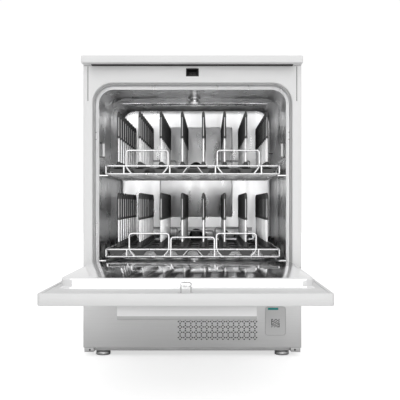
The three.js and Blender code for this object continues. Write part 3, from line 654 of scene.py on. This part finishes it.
def rating_plate():
    """A blank generic label: a pale plate with a teal bar and a plain grid of squares."""
    plate, teal, ink = bmesh.new(), bmesh.new(), bmesh.new()
    cx, cz, y = 0.233, 0.098, PANEL_LOW[1]
    outline = rounded(cx - 0.0285, cx + 0.0285, cz - 0.040, cz + 0.040, 8 * MM, 8 * MM, 8)
    loft(plate, [[(x, y + d * MM, z) for x, z in outline] for d in (-0.1, -0.45)])
    rim = [(x, y - 0.5 * MM, z) for x, z in outline]
    round_box(teal, (cx - 0.021, y - 0.7 * MM, cz + 0.031), (cx + 0.008, y - 0.4 * MM, cz + 0.037), 0.1)
    cell = 2.6 * MM
    for i in range(9):
        for j in range(9):
            if (i * 5 + j * 3) % 7 < 3 or (i in (0, 8) and j % 2 == 0):
                x, z = cx + (i - 4.5) * cell, cz - 0.006 + (j - 4.5) * cell
                low, high = (x, y - 0.65 * MM, z), (x + cell * 0.92, y - 0.4 * MM, z + cell * 0.92)
                round_box(ink, low, high, 0.05)
    finish_mesh("rating_plate", plate, [PLATE], "cabinet")
    finish_mesh("rating_plate_bar", teal, [TEAL], "cabinet")
    finish_mesh("rating_plate_grid", ink, [INK], "cabinet", smooth=0)
    wires("rating_plate_rim", [(rim, True)], 0.35 * MM, INK_PALE, "cabinet")


# ---- door ----
def door_point(x, radius, rise):
    """A place on the open door: radius runs out from the hinge, rise is above it, in millimetres."""
    return (x * MM, HINGE[1] - radius * MM, HINGE[2] + rise * MM)


def door_plan(half, near, far, front, back, rise, steps=8):
    plan = rounded(-half, half, -far, -near, front, back, steps)
    return [door_point(x, -y, rise) for x, y in plan]


def door_shell():
    bm = bmesh.new()
    profile = [(2.2, -11.7), (0.7, -11.2), (0, -9.6), (0, 12.3), (0.7, 13.8), (2.2, 14.3), (6.4, 14.3),
               (7.6, 13.8), (8, 12.8), (8, 9)]
    loops = [door_plan(303 - o, -15 + o, 581 - o, max(9 - o, 1.5), max(3 - o, 0.8), t) for o, t in profile]
    loft(bm, loops)
    piece = finish_mesh("door_skin", bm, [DOOR_COAT], "door", ["door_shell"])
    notches = []
    for side in (-1, 1):
        notches.append(corners_of(door_point(side * 289, -20, -9.8), door_point(side * 301.5, 8.5, 30)))
    notches.append(corners_of(door_point(-150.3, 511.7, -20), door_point(150.3, 556.3, -8.7)))
    carve(piece, notches, DOOR_COAT)


def door_liner():
    bm = bmesh.new()
    plate = [(300, -12, 578, 3, 3, 10.8), (300, -12, 578, 3, 3, 12.3)]
    block = [(281, -1, 483, 34, 8, 12.3), (278.6, 1.4, 480.6, 32, 8, 13.1), (277.4, 2.6, 479.4, 31.2, 8, 15),
             (277, 3, 479, 31, 8, 18), (277, 3, 479, 31, 8, 31), (276.5, 3.4, 478.6, 30.5, 8, 33.4),
             (274.8, 5, 476.8, 29, 7, 35.4), (272, 8, 474, 27, 6, 36.2)]
    loft(bm, [door_plan(*step, 12) for step in plate + block])
    piece = finish_mesh("door_inner", bm, [DOOR_INNER, LINER], "door", ["door_liner"],
                        smooth=28)
    floor = HINGE[2] + 12.6 * MM
    for face in piece.data.polygons:
        if face.center.z > floor:
            face.material_index = 1
    ears = []
    for side in (-1, 1):
        ears.append(corners_of(door_point(side * 288.8, -20, -5), door_point(side * 320, 8.8, 20)))
    carve(piece, ears)


def striker():
    """A wire loop with a rung across it, on a screwed foot."""
    half, radius, foot, top = 10.5, 565, 12.4, 35.4
    corners = ((-half, foot), (-half, top), (half, top), (half, foot))
    loop = [door_point(x, radius, rise) for x, rise in corners]
    rung = [door_point(-half, radius, 28), door_point(half, radius, 28)]
    wires("striker_loop", [(fillet(loop, 4 * MM), False), (rung, False)], 1.5 * MM, STRIKER_WIRE, "door",
          ["door_striker"])
    bm = bmesh.new()
    round_box(bm, door_point(-17, 573, 12.35), door_point(17, 557, 13.9), 0.5)
    for x in (-13.6, 13.6):
        head = [(0, 0), (2.2, 0), (2.2, 0.4), (1.4, 1.1), (0, 1.2)]
        lathe(bm, head, door_point(x, radius, 13.9), UP, 12)
    finish_mesh("striker_foot", bm, [STEEL_X], "door")


def handle():
    """The grip along the door's edge: a leaning face that turns into a curved lip."""
    root, end, bend, thick = -12.0, -42.7, 12.0, 3.5
    outer_r = 493.0
    outside, inside = [], []
    steps = 14
    for k in range(steps + 1):
        angle = radians(135) * k / steps
        for curve, r in ((outside, bend), (inside, bend - thick)):
            curve.append((outer_r - bend + r * cos(angle), end - r * sin(angle)))
    tip = inside[-1]
    outline = [(472.5, root), (486.5, root), (487.5, root - 1.4), *outside,
               ((outside[-1][0] + tip[0]) / 2 - 0.9, (outside[-1][1] + tip[1]) / 2 + 0.9), *reversed(inside),
               (483.5, root - 5.6), (482, root - 4.0), (473.5, root - 3)]
    bm = bmesh.new()
    xs = [(-150, 0.8), (-149.3, 0.2), (-148, 0), (148, 0), (149.3, 0.2), (150, 0.8)]
    centre = (483.0, -32.0)
    loops = []
    for x, inset in xs:
        shrink = 1 - inset / 60
        loops.append([door_point(x, centre[0] + (r - centre[0]) * shrink,
                                 min(root, centre[1] + (t - centre[1]) * shrink)) for r, t in outline])
    loft(bm, loops)
    grip = finish_mesh("door_grip", bm, [GRIP_PAINTED_LIGHT, GRIP_LIP_PAINTED_SHADE], "door", ["door_handle"], smooth=38)
    # faces that turn downwards take the darker coat: painted shade under the curved lip
    for polygon in grip.data.polygons:
        if polygon.normal.z < -0.15 and abs(polygon.normal.x) < 0.5:
            polygon.material_index = 1


def controls():
    """Display window and its dim segments on the control strip."""
    dress("control_panel", GLASS_BLACK)
    bm = bmesh.new()
    round_box(bm, door_point(-45, 547, -11.6), door_point(45, 521, -11.3), 0.1)
    finish_mesh("display_window", bm, [GLASS_BLACK], "door")
    bm = bmesh.new()
    for k in range(4):
        x = -30 + 15 * k + (5 if k > 1 else 0)
        for rise in (528, 534, 540):
            round_box(bm, door_point(x, rise + 0.5, -11.68), door_point(x + 8, rise - 0.5, -11.55), 0.04)
    finish_mesh("display_segments", bm, [TEAL], "door", smooth=0)
    for name in ("power_button", "start_button"):
        x, y, _ = middle(name)
        bm = bmesh.new()
        cap = [(0, 0.6), (5, 0.4), (6.6, 0), (7.6, 0.3), (8, 1.2), (8, 7.8), (0, 7.8)]
        lathe(bm, cap, (x, y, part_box(name)[0][2]), UP, 28)
        finish_mesh(name + "_cap", bm, [STEEL_X], name, [name])


# ---- spray arms ----
def spray_arm(name, material):
    low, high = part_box(name)
    reach = (high[0] - low[0]) / 2 * 1000
    z0, z1 = low[2], high[2]
    up = name.startswith("bottom")
    bm = bmesh.new()
    stations = 13
    loops = []
    for k in range(stations):
        u = -1 + 2 * k / (stations - 1)
        taper = 1 - 0.42 * abs(u) - (0.35 if k in (0, stations - 1) else 0)
        half, thick = 20 * taper, (z1 - z0) / 2 * (1 - 0.3 * abs(u))
        section = []
        for j in range(16):
            angle = 2 * pi * j / 16
            y = half * MM * copysign(abs(cos(angle)) ** 0.8, cos(angle))
            z = thick * copysign(abs(sin(angle)) ** 0.7, sin(angle))
            section.append((u * (reach - 0.5) * MM, CENTRE.y + y, (z0 + z1) / 2 + z))
        loops.append(section)
    loft(bm, loops)
    cap = [(0, 0), (24, 0), (25.5, 1.5), (25.5, 8.5), (24, 10), (0, 10)]
    lathe(bm, cap, (0, CENTRE.y, z0), UP, 24)
    finish_mesh(name + "_body", bm, [material, BLACK], name, [name], smooth=35)
    bm = bmesh.new()
    face = z1 - 0.9 * MM if up else z0 + 0.9 * MM
    for k in range(6):
        x = (50 + 28 * k) * MM
        for side in (-1, 1):
            jet = [(0, 0), (3.4, 0), (3.0, 0.5), (1.4, 0.6), (1.2, 0.2), (0, 0.2)]
            lathe(bm, jet, (side * x, CENTRE.y, face), UP, 12, way=1 if up else -1)
    finish_mesh(name + "_jets", bm, [BLACK], name)


# ---- racks ----
LEVELS = {
    "lower": dict(bottom=276, rail=296.6, tray=300, skirt=279, hoop=342, near=68, far=181, dock=314,
                  tip=459, stiles=(62.5, 188)),
    "upper": dict(bottom=511.8, rail=534.7, tray=531, skirt=514, hoop=579, near=70, far=190, dock=552,
                  tip=694, stiles=(65, 196)),
}
RACK_FRONT, RACK_REAR, RACK_HALF, WIRE_R = 33, 581, 247.5, 2.5


def spot(x, depth, z):
    return (x * MM, at(depth), z * MM)


def rack_wires(level):
    """The basket: two rings, stiles, hoops at both ends, and thinner wires across the bottom."""
    size = LEVELS[level]
    low, rail = size["bottom"], size["rail"]
    inner, outer = size["stiles"]
    paths = []
    for z in (low, rail):
        ring = [spot(-RACK_HALF, RACK_FRONT, z), spot(RACK_HALF, RACK_FRONT, z),
                spot(RACK_HALF, RACK_REAR, z), spot(-RACK_HALF, RACK_REAR, z)]
        paths.append((fillet(ring, 12 * MM, True), True))
    for depth, behind in ((RACK_FRONT, RACK_FRONT + 4.2), (RACK_REAR, RACK_REAR - 4.2)):
        for x in (-outer, -inner, inner, outer):
            paths.append(([spot(x, depth, low), spot(x, depth, rail)], False))
        for side in (-1, 1):
            near, far, knee = side * size["near"], side * size["far"], rail - 3
            hoop = [(near + side * 16, low), (near, knee), (near, size["hoop"]), (far, size["hoop"]),
                    (far, knee), (far - side * 16, low)]
            paths.append((fillet([spot(x, behind, z) for x, z in hoop], 9 * MM), False))
        if level == "lower":
            bow = [(-62, 276), (-62, 331), (62, 331), (62, 276)]
            paths.append((fillet([spot(x, behind, z) for x, z in bow], 9 * MM), False))
    for side in (-1, 1):
        x = side * RACK_HALF
        for depth in (RACK_FRONT + 6, 150, 310, 460, RACK_REAR - 6):
            paths.append(([spot(x, depth, low), spot(x, depth, rail)], False))
    nodes = [level + "_rack_frame"]
    wires(level + "_basket_wires", paths, WIRE_R * MM, WIRE, level + "_rack", nodes)
    thin = []
    for depth in (RACK_FRONT + 8, 120, 210, 300, 390, 480, RACK_REAR - 8):
        thin.append(([spot(-RACK_HALF, depth, low - 0.8), spot(RACK_HALF, depth, low - 0.8)], False))
    for x in (-40, 40):
        thin.append(([spot(x * 0.3, RACK_FRONT + 4, rail), spot(x * 0.75, RACK_FRONT + 4, low)], False))
    wires(level + "_basket_cross_wires", thin, 1.5 * MM, WIRE, level + "_rack")


def rack_tray(level):
    size = LEVELS[level]
    bm = bmesh.new()
    half, front, back = 240, 43, 572
    top, skirt = size["tray"], size["skirt"]
    for x in COLUMNS:  # a channel under each row of nozzles, with ribs along it
        round_box(bm, spot(x - 13.5, front, top - 6), spot(x + 13.5, back, top), 1.5)
        for side in (-1, 1):
            for k in range(34):
                depth = front + 14 + k * 15.2
                x0, x1 = sorted((x + side * 13, x + side * 16.6))
                round_box(bm, spot(x0, depth, top - 4.4), spot(x1, depth + 6, top - 0.6), 0.5)
    for depth in (front, back - 3):
        outline = [(-half, top - 0.8), (-half, skirt + 10)]
        for x in COLUMNS:  # stems hang under the nozzles, and the skirt arches between them
            outline += [(x - 15, skirt + 4), (x - 12.5, skirt + 3.2), (x - 12.5, skirt), (x + 12.5, skirt),
                        (x + 12.5, skirt + 3.2), (x + 15, skirt + 4)]
            if x < COLUMNS[-1]:
                for k in range(1, 8):
                    angle = pi * k / 8
                    outline.append((x + 30.5 - 15.5 * cos(angle), skirt + 4 + 9.5 * sin(angle)))
        outline += [(half, skirt + 10), (half, top - 0.8)]
        loft(bm, [[spot(x, depth + d, z) for x, z in outline] for d in (0, 3)])
    for depth in (front + 3.2, 190, 340, 486, back - 18):
        round_box(bm, spot(-half, depth, top - 8), spot(half, depth + 14, top - 2.2), 1.5)
    for side in (-1, 1):
        x0, x1 = sorted((side * half, side * (half - 4)))
        round_box(bm, spot(x0, front, skirt + 8), spot(x1, back, top - 0.4), 1.2)
    round_box(bm, spot(-14, back - 12, top - 4), spot(14, back, size["dock"] + 12), 2)
    spigot = [(0, 0), (9, 0), (9, 12), (8.2, 13), (8.2, 15), (9, 16), (9, 21), (7.5, 22.6), (0, 22.6)]
    lathe(bm, spigot, spot(0, back - 1, size["dock"]), BACKWARD, 20)
    nodes = [level + "_rack_tray"]
    finish_mesh(level + "_tray_body", bm, [TRAY], level + "_rack", nodes, smooth=32)


def sleeve_rib(bm, x, depth, z0, z1, start, sweep, inner, outer, material):
    """One rib of a slotted sleeve: an arc of wall between two slots."""
    steps = 3
    angles = [start + sweep * k / steps for k in range(steps + 1)]

    def arc(radius, z):
        radius *= MM
        return [(x * MM + radius * cos(a), at(depth) + radius * sin(a), z * MM) for a in angles]

    loops = [arc(outer, z) + arc(inner, z)[::-1] for z in (z0, z1)]
    loft(bm, loops, material=material)


def injector(bm, x, depth, base, tip):
    """Collar, bright nozzle, and a dark slotted sleeve with a pointed cap."""
    place = spot(x, depth, base)
    up = tip - base
    collar = [(0, 0), (11, 0), (11, 1.6), (8, 3), (6.4, 8), (5, 12), (3.2, 13)]
    lathe(bm, collar, place, UP, 14, 1)
    nozzle = [(3.0, 10), (3.1, 12), (3.1, up - 78), (3.0, up - 77)]
    lathe(bm, nozzle, place, UP, 12, 0)
    core = [(2.9, up - 79), (2.9, up - 17)]
    lathe(bm, core, place, UP, 10, 2)
    low = [(3.0, up - 79), (4.4, up - 78.6), (4.7, up - 78), (4.7, up - 72), (3.0, up - 72)]
    lathe(bm, low, place, UP, 14, 1)
    for quarter in range(4):
        start = radians(45 + 90 * quarter - 24)
        sleeve_rib(bm, x, depth, base + up - 72.5, base + up - 17.5, start, radians(48), 2.9, 4.7, 1)
    cap = [(3.0, up - 18), (4.7, up - 18), (4.7, up - 14), (4.0, up - 6), (2.4, up - 1.2), (0, up)]
    lathe(bm, cap, place, UP, 14, 1)


def injector_rows(level):
    size = LEVELS[level]
    for number, x in enumerate(COLUMNS, 1):
        bm = bmesh.new()
        round_box(bm, spot(x - 5, 51, size["tray"] + 0.3), spot(x + 5, 563, size["tray"] + 6.5), 1.6, 1)
        for row in range(ROWS):
            injector(bm, x, FIRST_ROW + PITCH * row, size["tray"] + 4, size["tip"])
        node = f"{level}_injector_row_{number}"
        finish_mesh(node + "_nozzles", bm, [BRIGHT, SLEEVE, CORE], level + "_rack", [node],
                    smooth=35)


def rack_wheels():
    for side_name, side in (("left", -1), ("right", 1)):
        for number in range(1, 5):
            node = f"lower_wheel_{side_name}_{number}"
            x, y, z = middle(node)
            bm = bmesh.new()
            half = [(3.6, 4.4), (8, 4.4), (9, 3.2), (17.5, 3.2), (18.6, 5.4), (21.6, 5.4), (22.7, 4.4),
                    (23, 2.5)]
            tread = [(r, -h) for r, h in half] + half[::-1] + [(3.6, -4.4)]
            lathe(bm, tread, (x, y, z), RIGHT, 40)
            for k in range(5):  # spokes make the turning visible
                angle = 2 * pi * k / 5
                reach = Vector((0, cos(angle), sin(angle)))
                across = Vector((0, -reach.z, reach.y)) * 1.3 * MM
                corners = [reach * 8.5 * MM + across, reach * 18 * MM + across,
                           reach * 18 * MM - across, reach * 8.5 * MM - across]
                centre = Vector((x, y, z))
                loops = [[centre + c + Vector((d * MM, 0, 0)) for c in corners] for d in (-4.8, 4.8)]
                loft(bm, loops)
            finish_mesh(node + "_tread", bm, [WHEEL], f"wheel_{side_name}_{number}", [node],
                        smooth=35)
    bm = bmesh.new()
    axle = [(0, 0), (3, 0), (3, 15.3), (4.6, 15.4), (4.6, 16.4), (3.4, 17.2), (0, 17.2)]
    for side in (-1, 1):
        for number in range(1, 5):
            _, y, z = middle(f"lower_wheel_left_{number}")
            lathe(bm, axle, (side * 0.2465, y, z), RIGHT, 14, way=side)
            side_box(bm, side, 0.2462, 0.2505, (y - 8 * MM, 0.2745), (y + 8 * MM, 0.2985), 1)
    finish_mesh("lower_axles", bm, [STEEL_X], "lower_rack")


# ---- feet and small fittings ----
def feet():
    for place in ("front_left", "front_right", "rear_left", "rear_right"):
        x, y, _ = middle("foot_" + place)
        bm = bmesh.new()
        pad = [(0, 0), (18.6, 0), (20, 1), (20.4, 3), (20.4, 8), (19.4, 10), (13, 11.6), (12, 12.4),
               (0, 12.4)]
        lathe(bm, pad, (x, y, 0), UP, 32)
        for radius, z0, z1, sides in ((13, 12.2, 18, 6), (6, 17.8, 23.6, 16)):
            lathe(bm, [(0, z0), (radius, z0), (radius, z1), (0, z1)], (x, y, 0), UP, sides)
        finish_mesh(f"foot_{place}_pad", bm, [ZINC], "cabinet", ["foot_" + place], smooth=30)


def base_brackets():
    """Corner lugs and the front skirt between the feet."""
    bm = bmesh.new()
    for side in (-1, 1):
        side_box(bm, side, 0.277, 0.3035, (at(3), 0.010), (at(24), 0.0223), 0.8)
    round_box(bm, (-0.277, at(14), 0.0125), (0.277, at(16), 0.0222), 0.6)
    finish_mesh("base_skirt", bm, [PANEL], "cabinet")
    bm = bmesh.new()
    for side in (-1, 1):
        head = [(0, 0), (2.6, 0), (2.6, 0.5), (1.6, 1.0), (0, 1.0)]
        lathe(bm, head, (side * 0.288, at(3), 0.0165), BACKWARD, 12, way=-1)
    finish_mesh("base_screws", bm, [BLACK], "cabinet")


def screw(bm, place):
    """A low pan head with a small round recess, on the back cover."""
    radius, height = 3.2, 1.1
    head = [(0, 0), (radius, 0), (radius, height * 0.35), (radius * 0.7, height * 0.85),
            (radius * 0.3, height), (radius * 0.22, height * 0.6), (0, height * 0.6)]
    lathe(bm, head, place, BACKWARD, 14)


def rear_cover():
    """Back cover: a pressed sheet with two ribs, louvres, a connection bay and its screws."""
    (x0, _, z0), (x1, back, z1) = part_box("rear_panel")
    bm = bmesh.new()
    loops = []
    for inset, depth in ((1.4, -1.5), (0.4, -1.5), (0, -1.1), (0, -0.4), (0.5, 0), (7, 0), (9, -1.3)):
        plan = rounded(x0, x1, z0, z1, 2 * MM, 2 * MM, 4, inset * MM)
        loops.append([(x, back + depth * MM, z) for x, z in plan])
    loft(bm, loops)
    piece = finish_mesh("rear_cover", bm, [STEEL_Z], "cabinet", ["rear_panel"])
    cuts = []
    for column in (-1, 1):
        for row in range(11):
            x, z = column * 0.075, 0.585 + 0.012 * row
            cuts.append(((x - 0.055, back - 4 * MM, z), (x + 0.055, back + 1 * MM, z + 0.0045)))
    low, high = CONNECTION_HOLE
    for x in CONNECTIONS:
        cuts.append(((x - 0.016, back - 4 * MM, low), (x + 0.016, back + 1 * MM, high)))
    carve(piece, cuts, STEEL_Z)
    for polygon in piece.data.polygons:
        if polygon.area > 0.01:  # square metres; the wide flat faces would smear if smooth
            polygon.use_smooth = False
    bm = bmesh.new()
    for side in (-1, 1):
        x = side * 0.15
        round_box(bm, (x - 0.010, back - 1.6 * MM, 0.16), (x + 0.010, back - 0.2 * MM, 0.56), 0.5)
    finish_mesh("rear_ribs", bm, [STEEL_Z], "cabinet")
    bm = bmesh.new()
    for x in (-0.292, 0, 0.292):
        for z in (0.040, 0.42, 0.800):
            if x or z != 0.42:
                screw(bm, (x, back - 1.3 * MM, z))
    finish_mesh("rear_screws", bm, [STEEL_X], "cabinet")
    # black sheets just behind the louvres and the connection holes: painted shade seen through the openings
    bm = bmesh.new()
    round_box(bm, (-0.135, back - 7 * MM, 0.58), (0.135, back - 5 * MM, 0.72), 0.5)
    round_box(bm, (0.115, back - 24 * MM, 0.064), (0.275, back - 22 * MM, 0.108), 0.5)
    finish_mesh("rear_shade_sheets", bm, [BLACK], "cabinet")
    bm = bmesh.new()
    thread = [(0, -22), (11, -22)]
    for turn in range(6):
        thread += [(11, -18 + 2.6 * turn), (9.8, -16.8 + 2.6 * turn)]
    thread += [(9.8, -0.6), (8, -0.6), (8, -10), (0, -10)]
    for x in CONNECTIONS:
        lathe(bm, thread, (x, back, 0.086), BACKWARD, 24)
    finish_mesh("rear_connections", bm, [STEEL_X], "cabinet")


front_frame()
lid()
lock()
chamber()
rack_guides()
gasket()
service_panel()
rating_plate()
door_shell()
door_liner()
striker()
handle()
controls()
for arm in ("top_spray_arm", "bottom_spray_arm"):
    spray_arm(arm, CHAMBER_LIP)
for rack in LEVELS:
    rack_wires(rack)
    rack_tray(rack)
    injector_rows(rack)
rack_wheels()
feet()
base_brackets()
rear_cover()

for name in ("side_panel_left", "side_panel_right"):
    dress(name, STEEL_Z)
for name in ("base_pan", "hinge_bracket_left", "hinge_bracket_right", "sump_heater", "sump_filter"):
    dress(name, STEEL_X)
for name in ("wash_pump", "drain_pump"):
    dress(name, CAST)
dress("control_box", BLACK)


# ---- stage, light and camera ----
def stage():
    bm = bmesh.new()
    size = 9.0
    bm.faces.new([bm.verts.new((x * size, y * size, 0.0)) for x, y in ((-1, -1), (1, -1), (1, 1), (-1, 1))])
    mesh = bpy.data.meshes.new("floor")
    bm.to_mesh(mesh)
    bm.free()
    floor = add_object("floor", mesh)
    material, nodes, links, shader = node_material("floor_white", (0.66, 0.66, 0.66), 0.9, 0.0)
    ray = nodes.new("ShaderNodeLightPath")
    glow = nodes.new("ShaderNodeMath")
    glow.operation = "MULTIPLY"
    glow.inputs[1].default_value = 0.62
    links.new(ray.outputs["Is Camera Ray"], glow.inputs[0])
    shader.inputs["Emission Color"].default_value = (1, 1, 1, 1)
    links.new(glow.outputs["Value"], shader.inputs["Emission Strength"])
    mesh.materials.append(material)


def world():
    """Even white sky; what the metal mirrors has darker bands, as in a product studio."""
    sky = bpy.data.worlds.new("studio")
    bpy.context.scene.world = sky
    sky.use_nodes = True
    nodes, links = sky.node_tree.nodes, sky.node_tree.links
    back = nodes["Background"]
    place = nodes.new("ShaderNodeTexCoord")
    split = nodes.new("ShaderNodeSeparateXYZ")
    links.new(place.outputs["Generated"], split.inputs["Vector"])
    bands = nodes.new("ShaderNodeValToRGB")
    bands.color_ramp.interpolation = "B_SPLINE"
    steps = ((0.0, 0.8), (0.44, 0.8), (0.5, 0.66), (0.56, 0.95), (0.7, 0.72), (0.85, 0.95), (1.0, 0.85))
    while len(bands.color_ramp.elements) < len(steps):
        bands.color_ramp.elements.new(0.5)
    for element, (where, tone) in zip(bands.color_ramp.elements, steps):
        element.position = where
        element.color = (tone, tone, tone, 1)
    links.new(remap(nodes, links, split.outputs["Z"], From_Min=-1), bands.inputs["Fac"])
    ray = nodes.new("ShaderNodeLightPath")
    pick = nodes.new("ShaderNodeMix")
    pick.data_type = "RGBA"
    links.new(ray.outputs["Is Camera Ray"], pick.inputs["Factor"])
    links.new(bands.outputs["Color"], pick.inputs["A"])
    pick.inputs["B"].default_value = (1.02, 1.02, 1.02, 1)
    links.new(pick.outputs["Result"], back.inputs["Color"])
    back.inputs["Strength"].default_value = 1.0


def area_light(name, place, target, size, power):
    data = bpy.data.lights.new(name, "AREA")
    data.shape = "RECTANGLE"
    data.size, data.size_y = size
    data.energy = power
    lamp = add_object(name, data)
    lamp.location = place
    lamp.rotation_euler = (Vector(target) - Vector(place)).to_track_quat("-Z", "Y").to_euler()


def camera():
    data = bpy.data.cameras.new("camera")
    data.lens = 69.66
    data.sensor_width = 36.0
    data.shift_x, data.shift_y = -0.025, 0.01
    eye = add_object("camera", data)
    eye.location = (0.0495, FRONT - 2.171, 0.426)
    eye.rotation_euler = (radians(90), 0, 0)
    bpy.context.scene.camera = eye


stage()
world()
area_light("key", (-1.2, -2.6, 2.6), (0, 0, 0.5), (2.0, 2.0), 8)
area_light("fill", (1.8, -2.4, 1.2), (0, 0, 0.5), (1.6, 1.6), 5)
area_light("front", (0.0, -3.2, 0.52), (0, 0.3, 0.5), (2.4, 1.0), 16)
camera()
bpy.context.scene.view_settings.view_transform = "Standard"
